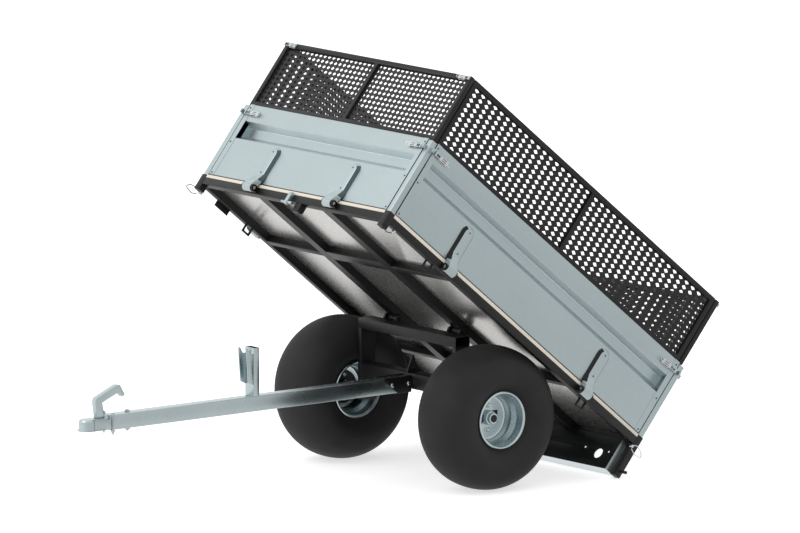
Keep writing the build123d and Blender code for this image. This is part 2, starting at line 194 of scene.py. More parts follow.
def ply_material():
    """Film-coated ply: pale glossy face with a faint grain, as if lightly silvered."""
    n = Nodes("plywood")
    grain = n.noise(6.0, 6.0, 0.6, (1, 14, 14))
    n.link(
        n.ramp(grain, ((0.3, (0.60, 0.59, 0.57)), (0.7, (0.68, 0.67, 0.65)))),
        n.shader.inputs["Base Color"],
    )
    n.link(n.span(grain, 0.24, 0.32), n.shader.inputs["Roughness"])
    n.shader.inputs["Metallic"].default_value = 0.85
    n.bump(grain, 0.06, 0.0003)
    return n.mat


def ply_edge_material():
    """Cut edge of the ply: pale birch in thin layers."""
    n = Nodes("plywood_edge")
    layers = n.add("ShaderNodeTexWave", Scale=95.0, Distortion=0.6)
    n.link(n.coords(), layers.inputs["Vector"])
    n.link(
        n.ramp(layers.outputs["Fac"], ((0.1, (0.78, 0.69, 0.57)), (0.6, (0.90, 0.83, 0.73)))),
        n.shader.inputs["Base Color"],
    )
    n.link(n.span(n.noise(60.0, 3.0), 0.55, 0.7), n.shader.inputs["Roughness"])
    n.bump(layers.outputs["Fac"], 0.08, 0.0003)
    return n.mat


ZINC = galvanised("galvanised_sheet", (0.475, 0.553, 0.568), (0.515, 0.593, 0.606), 0.38)
BAR_ZINC = galvanised("galvanised_tube", (0.49, 0.57, 0.59), (0.56, 0.635, 0.65), 0.27)
RIM_ZINC = galvanised("galvanised_rim", (0.50, 0.58, 0.60), (0.60, 0.67, 0.69), 0.24)
BRIGHT = galvanised("bright_fittings", (0.58, 0.62, 0.63), (0.74, 0.77, 0.78), 0.22)
SCREW = galvanised("dark_screws", (0.10, 0.12, 0.13), (0.16, 0.19, 0.20), 0.35)
BLACK = coated("black_powder_coat", (0.009, 0.009, 0.009), (0.014, 0.0135, 0.014), 0.42, 900.0, 0.36)
PLASTIC = coated(
    "black_plastic_parts", (0.004, 0.004, 0.0045), (0.007, 0.007, 0.0075), 0.4, 1500.0, 0.35
)
RUBBER = rubber_material()
PLY = ply_material()
PLY_EDGE = ply_edge_material()
# Copies of the zinc with painted light: a painted highlight for the recess's upper slope and the lamp
# panel's lower flange, painted shade for the front and rear strap flanks, and a painted dark reflection
# for the lamp panel's web
HIGHLIGHT_ZINC = galvanised("galvanised_painted_highlight", (0.76, 0.81, 0.82), (0.82, 0.87, 0.88), 0.42)
STRAP_SHADE_ZINC = galvanised("galvanised_painted_shade", (0.085, 0.115, 0.125), (0.11, 0.14, 0.15), 0.4)
DARK_REFLECTION_ZINC = galvanised("galvanised_painted_dark_reflection", (0.028, 0.031, 0.032), (0.042, 0.046, 0.047), 0.42)

LOOKS = {
    "galvanised": ZINC,
    "cast": BAR_ZINC,
    "black_frame": BLACK,
    "rubber": RUBBER,
    "plywood": PLY,
    "black_plastic": PLASTIC,
}
# CAD nodes in the drawbar's brighter zinc
BAR_NODES = ("drawbar", "coupling", "coupling_handle", "coupling_bolts", "rest_post", "rest_latch")

slots = {s["node"]: s["material_slot"] for s in frame["record"]["subparts"]}
body_of = {n: b for b, nodes in frame["record"]["behaviour"]["bodies"].items() for n in nodes}
for node_name, node in frame["nodes"].items():
    look = LOOKS[slots[node_name]]
    if node_name.startswith(("rim", "hub")):
        look = RIM_ZINC
    if node_name in BAR_NODES:
        look = BAR_ZINC
    node.data.materials.clear()
    node.data.materials.append(look)

# Shapes: each is a pair of points and faces, in metres


def lathe(profile, turns=64, closed=True):
    """Turn (height, radius) points round the z axis."""
    verts = []
    for height, radius in profile:
        for turn in range(turns):
            angle = math.tau * turn / turns
            verts.append((radius * math.cos(angle), radius * math.sin(angle), height))
    faces = []
    rows = len(profile)
    for row in range(rows if closed else rows - 1):
        after = (row + 1) % rows
        for turn in range(turns):
            side = (turn + 1) % turns
            start, end = row * turns, after * turns
            faces.append((start + turn, start + side, end + side, end + turn))
    return verts, faces


def prism(outline, low, high):
    """Raise an outline in x and y from low to high."""
    count = len(outline)
    verts = [(x, y, low) for x, y in outline] + [(x, y, high) for x, y in outline]
    faces = [tuple(reversed(range(count))), tuple(range(count, 2 * count))]
    faces += [(k, (k + 1) % count, count + (k + 1) % count, count + k) for k in range(count)]
    return verts, faces


def skin(rings, closed=True):
    """Join rings of equal length, one after another."""
    count = len(rings[0])
    verts = [v for ring in rings for v in ring]
    faces = []
    for row in range(len(rings) - 1):
        for k in range(count if closed else count - 1):
            after = (k + 1) % count
            start, end = row * count, (row + 1) * count
            faces.append((start + k, start + after, end + after, end + k))
    return verts, faces


def wire(points, radius, sides=8):
    """A round wire along points."""
    path = [Vector(q) for q in points]
    rings = []
    normal = None
    for k, at in enumerate(path):
        ahead = path[min(k + 1, len(path) - 1)] - path[max(k - 1, 0)]
        ahead.normalize()
        if normal is None:
            normal = ahead.orthogonal().normalized()
        normal = (normal - ahead * normal.dot(ahead)).normalized()
        other = ahead.cross(normal)
        turn = [math.tau * side / sides for side in range(sides)]
        rings.append([tuple(at + (normal * math.cos(a) + other * math.sin(a)) * radius) for a in turn])
    verts, faces = skin(rings)
    faces += [tuple(reversed(range(sides))), tuple(range(len(verts) - sides, len(verts)))]
    return verts, faces


def rounded(points, radius, steps=4):
    """Points with each corner between the ends replaced by a short curve."""
    path = [Vector(q) for q in points]
    out = [path[0]]
    for k in range(1, len(path) - 1):
        before, at, after = path[k - 1:k + 2]
        reach_in = min(radius, (before - at).length * 0.45)
        reach_out = min(radius, (after - at).length * 0.45)
        start = at + (before - at).normalized() * reach_in
        end = at + (after - at).normalized() * reach_out
        for step in range(steps + 1):
            t = step / steps
            out.append(start * (1 - t) ** 2 + at * 2 * t * (1 - t) + end * t * t)
    out.append(path[-1])
    return [tuple(q) for q in out]


def block(x0, x1, y0, y1, z0, z1):
    """A block between two corners."""
    return prism(((x0, y0), (x1, y0), (x1, y1), (x0, y1)), z0, z1)


def moved(shape, place):
    """A shape in another frame."""
    return [tuple(place @ Vector(v)) for v in shape[0]], shape[1]


def merge(parts):
    """Join (verts, faces) pairs into one."""
    verts, faces = [], []
    for part_verts, part_faces in parts:
        start = len(verts)
        verts += part_verts
        faces += [tuple(i + start for i in face) for face in part_faces]
    return verts, faces


def turned(axis_x, axis_y, axis_z, x=0, y=0, z=0):
    """Frame with the given axes at a place."""
    return basis(Vector((x, y, z)), Vector(axis_x), Vector(axis_y), Vector(axis_z))


ALONG_X = turned((0, 1, 0), (0, 0, 1), (1, 0, 0))
ALONG_Y = turned((0, 0, 1), (1, 0, 0), (0, 1, 0))


# Edges sharper than these are bevelled, and shaded as edges
BEVEL_ANGLE = math.radians(24)
SHADE_ANGLE = math.radians(32)
# Faces that meet flatter than this are joined before bevelling
FLAT_ANGLE = math.radians(0.6)


def finish_mesh(mesh, soften, merge_near=True):
    """Clean a mesh, soften its sharp edges and set its shading."""
    work = bmesh.new()
    work.from_mesh(mesh)
    if merge_near:
        bmesh.ops.remove_doubles(work, verts=work.verts, dist=2e-6)
        bmesh.ops.dissolve_degenerate(work, edges=work.edges, dist=1e-7)
        bmesh.ops.recalc_face_normals(work, faces=work.faces)
    if soften:
        bmesh.ops.dissolve_limit(
            work, angle_limit=FLAT_ANGLE, verts=work.verts, edges=work.edges, delimit={"NORMAL"}
        )
        sharp = [
            edge for edge in work.edges
            if len(edge.link_faces) == 2 and edge.calc_face_angle(0) > BEVEL_ANGLE
        ]
        bmesh.ops.bevel(
            work, geom=sharp, offset=soften, segments=2, profile=0.5, affect="EDGES", clamp_overlap=True
        )
    work.to_mesh(mesh)
    work.free()
    mesh.shade_smooth()
    mesh.set_sharp_from_angle(angle=SHADE_ANGLE)


def piece(name, shape, look, body, place=Matrix.Identity(4), merge_near=True):
    """A mesh object in place, riding on a body."""
    verts, faces = shape
    mesh = bpy.data.meshes.new(name)
    mesh.from_pydata([place @ Vector(v) for v in verts], [], faces)
    mesh.materials.append(look)
    finish_mesh(mesh, 0.0, merge_near)
    obj = bpy.data.objects.new(name, mesh)
    bpy.context.collection.objects.link(obj)
    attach(obj, body)
    return obj


def relook(obj, look, chosen):
    """Give another material to the faces that a test of centre and normal picks."""
    obj.data.materials.append(look)
    index = len(obj.data.materials) - 1
    for polygon in obj.data.polygons:
        if chosen(polygon.center, polygon.normal):
            polygon.material_index = index


def soft_copy(node_name, width):
    """A copy of a CAD node with its edges softened, in its place."""
    source = frame["nodes"][node_name]
    mesh = source.data.copy()
    mesh.name = node_name + "_soft"
    finish_mesh(mesh, width)
    obj = bpy.data.objects.new(node_name + "_soft", mesh)
    bpy.context.collection.objects.link(obj)
    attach(obj, body_of[node_name])
    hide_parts(node_name)
    return obj


# Perforated sheets of the mesh extensions

SHEET_THICK = 0.0015
SHEET_BACK = 0.018
MESH_BACK = 0.008
FRAME_TUBE = 0.020
FRAME_GAP = 0.005
BAR_HALF = 0.008
FRAME_IN = 0.018
# Pitch along and up, half sizes of a hole along and up
LONG_GRID = (0.0382, 0.0218, 0.0125, 0.0082)
SHORT_GRID = (0.0272, 0.0218, 0.0100, 0.0082)
# Half length of each mesh extension, its grid
MESHES = {
    "left": (HALF_LENGTH - MESH_BACK - FRAME_TUBE - FRAME_GAP, LONG_GRID),
    "right": (HALF_LENGTH - MESH_BACK - FRAME_TUBE - FRAME_GAP, LONG_GRID),
    "front": (HALF_WIDTH - MESH_BACK, SHORT_GRID),
    "rear": (HALF_WIDTH - MESH_BACK, SHORT_GRID),
}
HOLE = (
    (1.0, 0.0), (0.42, 0.62), (0.0, 1.0), (-0.42, 0.62),
    (-1.0, 0.0), (-0.42, -0.62), (0.0, -1.0), (0.42, -0.62),
)


def perforated(x0, x1, z0, z1, y, pitch_x, pitch_z, hole_x, hole_z):
    """A sheet with a grid of rounded diamond holes, both faces and the holes' walls."""
    columns = round((x1 - x0) / pitch_x)
    rows = round((z1 - z0) / pitch_z)
    step_x = (x1 - x0) / columns
    step_z = (z1 - z0) / rows
    verts, faces = [], []
    index = {}

    def vert(x, z, side):
        key = (round(x, 6), round(z, 6), side)
        if key not in index:
            index[key] = len(verts)
            verts.append((x, y + side * SHEET_THICK / 2, z))
        return index[key]

    for column in range(columns):
        for row in range(rows):
            cx = x0 + (column + 0.5) * step_x
            cz = z0 + (row + 0.5) * step_z
            ring = [(cx + a * hole_x, cz + b * hole_z) for a, b in HOLE]
            edge = [
                (cx + step_x / 2, cz), (cx + step_x / 2, cz + step_z / 2), (cx, cz + step_z / 2),
                (cx - step_x / 2, cz + step_z / 2), (cx - step_x / 2, cz),
                (cx - step_x / 2, cz - step_z / 2), (cx, cz - step_z / 2),
                (cx + step_x / 2, cz - step_z / 2),
            ]
            for i in range(len(HOLE)):
                j = (i + 1) % len(HOLE)
                front = [vert(*ring[i], 1), vert(*edge[i], 1), vert(*edge[j], 1), vert(*ring[j], 1)]
                back = [
                    vert(*ring[j], -1), vert(*edge[j], -1), vert(*edge[i], -1), vert(*ring[i], -1),
                ]
                inner = [
                    vert(*ring[i], 1), vert(*ring[j], 1), vert(*ring[j], -1), vert(*ring[i], -1),
                ]
                faces += [front, back, inner]
    return verts, faces


for side, (half, grid) in MESHES.items():
    z0, z1 = PANEL_HIGH + 0.014, MESH_TOP - 0.016
    bays = []
    for x0, x1 in ((-half + FRAME_IN, -BAR_HALF), (BAR_HALF, half - FRAME_IN)):
        bays.append(perforated(x0, x1, z0, z1, -SHEET_BACK, *grid))
    sheet = piece(
        f"{side}_perforated", merge(bays), BLACK, f"{side}_side", wall(side),
        merge_near=False,
    )
    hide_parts(f"{side}_mesh")

# CAD nodes that only need their edges softened, width of the bevel
SOFT = (
    ("portal_uprights", 0.0015), ("portal_top", 0.0015), ("axle_beam", 0.0025),
    ("beam_gusset", 0.0008), ("drawbar", 0.0035), ("drawbar_socket", 0.001),
    ("coupling", 0.0025), ("coupling_handle", 0.003), ("rest_post", 0.0015),
    ("rest_latch", 0.0006), ("side_rails", 0.0015), ("end_rails", 0.0015),
    ("cross_members", 0.0015), ("corner_sockets", 0.0012), ("corner_posts", 0.0015),
    ("lamp_panel", 0.0008), ("tip_striker", 0.001), ("latch_housing", 0.0015),
    ("side_plate", 0.0006), ("left_mesh_frame", 0.0012), ("right_mesh_frame", 0.0012),
    ("front_mesh_frame", 0.0012), ("rear_mesh_frame", 0.0012),
)
soft = {node_name: soft_copy(node_name, width) for node_name, width in SOFT}

ply = soft_copy("floor", 0.0004)
relook(ply, PLY_EDGE, lambda centre, normal: abs(normal.dot(UP)) < 0.4)
# Painted light on the lamp panel: a painted dark reflection on its forward web, a painted highlight on
# its lower flange
relook(soft["lamp_panel"], DARK_REFLECTION_ZINC, lambda centre, normal: normal.dot(FORWARD) > 0.6)
relook(soft["lamp_panel"], HIGHLIGHT_ZINC, lambda centre, normal: normal.dot(UP) < -0.6)

# Wheels
WHEEL_Y = 0.450
HUB_Z = 0.280
BEAD = 0.104
# Distance out from the wheel's middle, radius
TYRE_LINE = (
    (0.0, 0.2798), (0.026, 0.2785), (0.052, 0.2742), (0.079, 0.2652), (0.102, 0.2518),
    (0.120, 0.2345), (0.1315, 0.212), (0.1355, 0.188), (0.1325, 0.166), (0.1245, 0.147),
    (0.112, 0.1305), (0.1015, 0.1215), (0.0965, 0.1165), (0.0955, 0.112),
)
# One flank of the rim, from its lip to the well, on both sides of the disc
RIM_FLANK = (
    (0.094, 0.1125), (0.0985, 0.1132), (0.1025, 0.1115), (0.1045, 0.1085), (0.1035, 0.1045),
    (0.1005, 0.1018), (0.096, 0.1002), (0.066, 0.0998), (0.0625, 0.0985), (0.0465, 0.0885),
    (0.0425, 0.0868), (0.038, 0.0862),
)
RIM_DISC = (
    (0.0125, 0.0860), (0.0085, 0.0846), (0.0065, 0.0810), (0.0060, 0.0760), (0.0060, 0.0570),
    (0.0030, 0.0570), (0.0030, 0.0790), (0.0010, 0.0835), (-0.0050, 0.0860),
)
BEAD_SEAT = BEAD - 0.0005
WELL = 0.0905
RIM_BED = (
    (-0.094, BEAD_SEAT), (-0.060, BEAD_SEAT), (-0.040, WELL), (0.040, WELL), (0.060, BEAD_SEAT),
    (0.094, BEAD_SEAT),
)
RIM_LINE = RIM_FLANK + RIM_DISC + tuple((-out, radius) for out, radius in reversed(RIM_FLANK)) + RIM_BED
HUB_LINE = (
    (-0.070, 0.0155), (-0.070, 0.0290), (-0.066, 0.0310), (-0.004, 0.0310), (0.006, 0.0290),
    (0.030, 0.0272), (0.0335, 0.0258), (0.0345, 0.0230), (0.0350, 0.0218), (0.0460, 0.0214),
    (0.0480, 0.0202), (0.0488, 0.0165), (0.0488, 0.0),
)
DRUM_LINE = (
    (-0.010, 0.0312), (-0.010, 0.0640), (-0.008, 0.0655), (0.0005, 0.0655), (0.0020, 0.0640),
    (0.0028, 0.0600), (0.0028, 0.0312),
)
STUD_LINE = ((0, 0), (0, 0.0085), (-0.009, 0.0085), (-0.012, 0.0060), (-0.012, 0))
DISC_BACK = 0.003
DISC_FACE = 0.006
DISC_OUT = 0.0572
# Windows of the disc beside the hub, circle of its nuts
WINDOW_IN = 0.0235
WINDOW_OUT = 0.0515
WINDOW_HALF = 0.0240
LUG_CIRCLE = 0.0475


def curve_through(points, steps=4):
    """Catmull-Rom points through a line of points."""
    out = []
    for k in range(len(points) - 1):
        near = [max(0, min(len(points) - 1, k + d)) for d in (-1, 0, 1, 2)]
        p0, p1, p2, p3 = (Vector(points[n]) for n in near)
        for step in range(steps):
            t = step / steps
            out.append(tuple(0.5 * (
                2 * p1 + (p2 - p0) * t + (2 * p0 - 5 * p1 + 4 * p2 - p3) * t * t
                + (3 * p1 - p0 - 3 * p2 + p3) * t ** 3
            )))
    out.append(tuple(points[-1]))
    return out


def disc_plate():
    """The wheel's middle plate, with two windows beside the hub."""
    reach = math.asin(WINDOW_HALF / DISC_OUT)
    shapes = []
    # Lobes above and below the windows
    for flip in (1, -1):
        lobe = []
        for k in range(25):
            angle = reach + (math.pi - 2 * reach) * k / 24
            lobe.append((DISC_OUT * math.cos(angle), flip * DISC_OUT * math.sin(angle)))
        lobe.append((-WINDOW_OUT, flip * WINDOW_HALF))
        lobe.append((WINDOW_OUT, flip * WINDOW_HALF))
        if flip < 0:
            lobe.reverse()
        shapes.append(prism(lobe, DISC_BACK, DISC_FACE))
    shapes.append(block(-WINDOW_IN, WINDOW_IN, -WINDOW_HALF, WINDOW_HALF, DISC_BACK, DISC_FACE))
    # Slivers outside the windows
    for flip in (1, -1):
        edge = [(flip * WINDOW_OUT, -flip * WINDOW_HALF)]
        for k in range(9):
            angle = -reach + 2 * reach * k / 8
            edge.append((flip * DISC_OUT * math.cos(angle), flip * DISC_OUT * math.sin(angle)))
        edge.append((flip * WINDOW_OUT, flip * WINDOW_HALF))
        shapes.append(prism(edge, DISC_BACK, DISC_FACE))
    return merge(shapes)


def lug_nut():
    """Domed wheel nut on its washer, along z."""
    return merge((
        lathe(((0, 0), (0, 0.0105), (0.0015, 0.0105), (0.0020, 0.0095), (0.0020, 0)), 20, False),
        lathe((
            (0.002, 0.0088), (0.0095, 0.0088), (0.0115, 0.0068), (0.0140, 0.0040), (0.0145, 0),
        ), 6, False),
    ))


tyre_half = curve_through(TYRE_LINE)
tyre_profile = (
    [(-out, radius) for out, radius in reversed(tyre_half)] + tyre_half[1:]
    + [(0.093, BEAD), (-0.093, BEAD)]
)
for side, sign in (("left", 1), ("right", -1)):
    wheel = f"wheel_{side}"
    hub_frame = turned((1, 0, 0), (0, 0, -sign), (0, sign, 0), AXLE_X, sign * WHEEL_Y, HUB_Z)
    tyre = piece(f"tyre_{side}_smooth", lathe(tyre_profile, 160), RUBBER, wheel, hub_frame)
    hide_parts(f"tyre_{side}")
    pressed = merge((lathe(RIM_LINE, 112), disc_plate()))
    rim = piece(f"rim_{side}_pressed", pressed, RIM_ZINC, wheel, hub_frame)
    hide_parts(f"rim_{side}")
    tube = lathe(HUB_LINE, 48, False)
    hub = piece(f"hub_{side}_turned", tube, RIM_ZINC, wheel, hub_frame)
    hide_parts(f"hub_{side}")
    piece(f"hub_flange_{side}", lathe(DRUM_LINE, 64), PLASTIC, wheel, hub_frame)
    nuts = []
    for turn in range(4):
        angle = math.tau * turn / 4 + math.radians(90)
        at = (LUG_CIRCLE * math.cos(angle), LUG_CIRCLE * math.sin(angle))
        if turn % 2 == 0:
            nuts.append(moved(lug_nut(), Matrix.Translation((*at, DISC_FACE))))
        nuts.append(moved(lathe(STUD_LINE, 6, False), Matrix.Translation((*at, -0.010))))
    piece(f"wheel_nuts_{side}", merge(nuts), BRIGHT, wheel, hub_frame)

# Drop sides: rounded sheet folds, end laps, screws
PANEL_LOW = 0.018
PANEL_DEEP = 0.022
RECESS = 0.038
STILE = 0.025
SHEET = 0.0015
# Outer and inner face of the sheet: distance out, height
PANEL_LINE = (
    (-PANEL_DEEP, PANEL_LOW), (0, PANEL_LOW), (0, 0.190), (-RECESS, 0.2165), (-RECESS, 0.256),
    (0, 0.270), (0, PANEL_HIGH), (-PANEL_DEEP, PANEL_HIGH),
)
PANEL_INNER = (
    (-PANEL_DEEP, PANEL_LOW + SHEET), (-SHEET, PANEL_LOW + SHEET), (-SHEET, 0.1895),
    (-RECESS - SHEET, 0.2160), (-RECESS - SHEET, 0.2565), (-SHEET, 0.2705),
    (-SHEET, PANEL_HIGH - SHEET), (-PANEL_DEEP, PANEL_HIGH - SHEET),
)
# End laps: how far they stand proud, and the heights where they step back beside the recess
LAP = 0.0009
STEP_LOW = 0.189
STEP_HIGH = 0.271
RAIL_U = 0.797
RAIL_V = 0.587
POST_GAP = 0.0325
# Half length of each panel, distance of its straps from its middle
HALVES = {
    "left": RAIL_U - POST_GAP,
    "right": RAIL_U - POST_GAP,
    "front": RAIL_V - POST_GAP,
    "rear": RAIL_V - POST_GAP,
}
STRAPS = {"left": 0.428, "right": 0.428, "front": 0.249, "rear": 0.249}
SCREW_IN = 0.0105
SCREW_UP = (0.0275, 0.1705, 0.3265)
STRAP_SCREW_UP = (0.061, 0.156)


def folded_panel(half):
    """The pressed sheet with its recess, between closed ends, and its end laps."""
    line = rounded([(y, 0, z) for y, z in PANEL_LINE], 0.0035, 3)
    inner = rounded([(y, 0, z) for y, z in PANEL_INNER], 0.0030, 3)
    ring = line + list(reversed(inner))
    inside = half - STILE
    shapes = [skin([[(x, y, z) for y, _, z in ring] for x in (-inside, inside)])]
    for sign in (1, -1):
        a, b = sorted((sign * inside, sign * half))
        shapes.append(block(a, b, -PANEL_DEEP, 0, PANEL_LOW, PANEL_HIGH))
        lap_a, lap_b = sorted((sign * (inside - 0.002), sign * half))
        step_a, step_b = sorted((sign * (inside + 0.0005), sign * half))
        shapes.append(block(lap_a, lap_b, 0, LAP, PANEL_LOW + 0.002, STEP_LOW))
        shapes.append(block(step_a, step_b, 0, LAP, STEP_LOW, STEP_HIGH))
        shapes.append(block(lap_a, lap_b, 0, LAP, STEP_HIGH, PANEL_HIGH - 0.001))
        # Wall that closes the recess
        wall_a, wall_b = sorted((sign * inside, sign * (inside + SHEET)))
        shapes.append(block(wall_a, wall_b, -RECESS - SHEET, -0.0005, 0.186, 0.274))
    return merge(shapes)


def pan_screw(radius=0.0036):
    """Low round screw head with a recess, along z."""
    return lathe((
        (0, radius), (0.0010, radius), (0.0018, radius * 0.72), (0.0020, radius * 0.42),
        (0.0006, radius * 0.36), (0.0006, 0),
    ), 14, False)


def hex_bolt(radius, height):
    """Hexagon head on a washer, along z."""
    washer = ((0, radius * 1.28), (0.0014, radius * 1.28), (0.0018, radius * 1.18), (0.0018, 0))
    head = ((0.0018, radius), (height * 0.84, radius), (height, radius * 0.86), (height, 0))
    return merge((lathe(washer, 24, False), lathe(head, 6, False)))


OUTWARD = turned((1, 0, 0), (0, 0, -1), (0, 1, 0))
for side, half in HALVES.items():
    place = wall(side)
    body = f"{side}_side"
    panel = piece(f"{side}_folded_panel", folded_panel(half), ZINC, body, place)
    to_wall = place.inverted()
    # The recess's upper slope gets a painted highlight: a lighter zinc than the rest of the sheet
    relook(panel, HIGHLIGHT_ZINC, lambda centre, normal: (
        -0.0372 < (to_wall @ centre).y < -0.0012 and 0.250 < (to_wall @ centre).z < 0.2699
        and abs((to_wall @ centre).x) < half - STILE - 0.001
    ))
    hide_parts(f"{side}_panel")
    screws = []
    for sign in (1, -1):
        for up in SCREW_UP:
            at = (sign * (half - SCREW_IN), LAP, up)
            screws.append(moved(pan_screw(), Matrix.Translation(at) @ OUTWARD))
        for up in STRAP_SCREW_UP:
            at = (sign * STRAPS[side], 0.0128, up)
            screws.append(moved(pan_screw(0.0034), Matrix.Translation(at) @ OUTWARD))
    piece(f"{side}_screws", merge(screws), SCREW, body, place)

# Hinge straps: a tapered channel with a round top that flares out to its barrel
HINGE_OUT = 0.025
HINGE_UP = -0.0145
HINGE = Matrix.Translation((0, HINGE_OUT, HINGE_UP))
STRAP_TOP = 0.182
STRAP_HALF = 0.033
STRAP_FOOT = 0.052
# Height over the panel, half width
STRAP_STEPS = (
    (0.0, STRAP_HALF), (0.0008, 0.0324), (0.0105, 0.0226), (0.0118, 0.0211), (0.0126, 0.0195),
    (0.0130, 0.0172),
)
# Share of the half width, share of the height: one cheek of the flare up to its middle
ARCH = ((-1, 0.0), (-1, 0.45), (-1, 0.84), (-0.94, 0.96), (-0.84, 1.0), (-0.4, 1.0))
BARREL_LINE = (
    (-0.0245, 0.0138), (-0.0245, 0.0160), (-0.0235, 0.0170),
    (0.0235, 0.0170), (0.0245, 0.0160), (0.0245, 0.0138),
)
COLLAR_LINE = (
    (0.0252, 0.0062), (0.0252, 0.0128), (0.0262, 0.0137), (0.0328, 0.0137), (0.0338, 0.0128),
    (0.0338, 0.0082), (0.0326, 0.0070), (0.0326, 0.0062),
)
CORE_LINE = (
    (-0.0345, 0), (-0.0345, 0.0052), (-0.0338, 0.0060),
    (0.0338, 0.0060), (0.0345, 0.0052), (0.0345, 0),
)
FLARE_STEPS = 10


def strap_outline(half, height, steps=14):
    """One ring of the channel: up one side, round the top and down the other."""
    middle = STRAP_TOP - STRAP_HALF
    ring = [(-half, height, STRAP_FOOT), (-half, height, (STRAP_FOOT + middle) / 2)]
    for k in range(steps + 1):
        angle = math.pi - math.pi * k / steps
        ring.append((half * math.cos(angle), height, middle + half * math.sin(angle)))
    ring += [(half, height, (STRAP_FOOT + middle) / 2), (half, height, STRAP_FOOT)]
    return ring


def arch(back, face, wide_back, wide_face):
    """One section of the flare: up one cheek, over its face and down the other."""
    back, face = Vector(back), Vector(face)
    rise = face - back
    ring = []
    for along, share in ARCH:
        wide = wide_back + (wide_face - wide_back) * share
        at = back + rise * share
        ring.append((along * wide, at.x, at.y))
    return ring + [(-x, y, z) for x, y, z in reversed(ring)]


def strap():
    """A whole strap with its barrel."""
    rings = [strap_outline(half, height) for height, half in STRAP_STEPS]
    verts, faces = skin(rings, closed=False)
    count = len(rings[0])
    faces.append(tuple(range(len(verts) - count, len(verts))))
    shapes = [(verts, faces)]
    sections = []
    for step in range(FLARE_STEPS + 1):
        t = step / FLARE_STEPS
        ease = t * t * (3 - 2 * t)
        face_y = 0.013 + 0.028 * (0.25 * t + 0.75 * ease)
        face_z = 0.054 - 0.062 * t
        back_y = 0.0005 + 0.0125 * t
        back_z = 0.052 - 0.060 * t
        wide_back = STRAP_HALF - 0.0085 * ease
        wide_face = 0.0200 + 0.0045 * ease
        sections.append(arch((back_y, back_z), (face_y, face_z), wide_back, wide_face))
    shapes.append(skin(sections, closed=False))
    shapes.append(moved(lathe(BARREL_LINE, 40), HINGE @ ALONG_X))
    return merge(shapes)


def collar(sign):
    """Black collar beside the barrel, round the pin, along x."""
    return moved(lathe(COLLAR_LINE, 32), HINGE @ Matrix.Scale(sign, 4, (1, 0, 0)) @ ALONG_X)


collars, cores = [], []
for side, reach in STRAPS.items():
    pair = []
    for sign in (1, -1):
        at = Matrix.Translation((sign * reach, 0, 0))
        pair.append(moved(strap(), at))
        place = wall(side) @ at
        for end in (1, -1):
            collars.append(moved(collar(end), place))
            lug = block(*sorted((end * 0.0258, end * 0.0338)), 0.003, HINGE_OUT, -0.0255, -0.0035)
            collars.append(moved(lug, place))
        cores.append(moved(lathe(CORE_LINE, 20, False), place @ HINGE @ ALONG_X))
    straps = piece(
        f"{side}_pressed_straps", merge(pair), ZINC, f"{side}_side", wall(side)
    )
    # The flank toward the front, or toward the left on the front and rear sides, gets painted shade:
    # black on the left and right straps, dark zinc on the front and rear ones
    along = wall(side).to_3x3() @ Vector((1, 0, 0))
    flank = along if along.dot(FORWARD) > 0.5 or along.y > 0.5 else -along
    relook(straps, PLASTIC if side in ("left", "right") else STRAP_SHADE_ZINC, lambda centre, normal: (
        normal.dot(flank) > 0.45 and abs(normal.dot(UP)) < 0.8
        and (wall(side).inverted() @ centre).z > 0.02
    ))
    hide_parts(f"{side}_straps")
collar_piece = piece("hinge_collars", merge(collars), PLASTIC, "bed")
piece("hinge_cores", merge(cores), BRIGHT, "bed")
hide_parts("hinge_pins")

# Toggle latches: base, lever, two sprung rods and rivets, with painted shade in the lever's slots and
# gaps


def coil(start, end, radius, turns, thick):
    """A helical spring between two points."""
    start, end = Vector(start), Vector(end)
    axis = (end - start).normalized()
    side_a = axis.orthogonal().normalized()
    side_b = axis.cross(side_a)
    points = []
    steps = turns * 10
    for k in range(steps + 1):
        angle = math.tau * turns * k / steps
        at = start + (end - start) * k / steps
        points.append(tuple(at + (side_a * math.cos(angle) + side_b * math.sin(angle)) * radius))
    return wire(points, thick, 5)


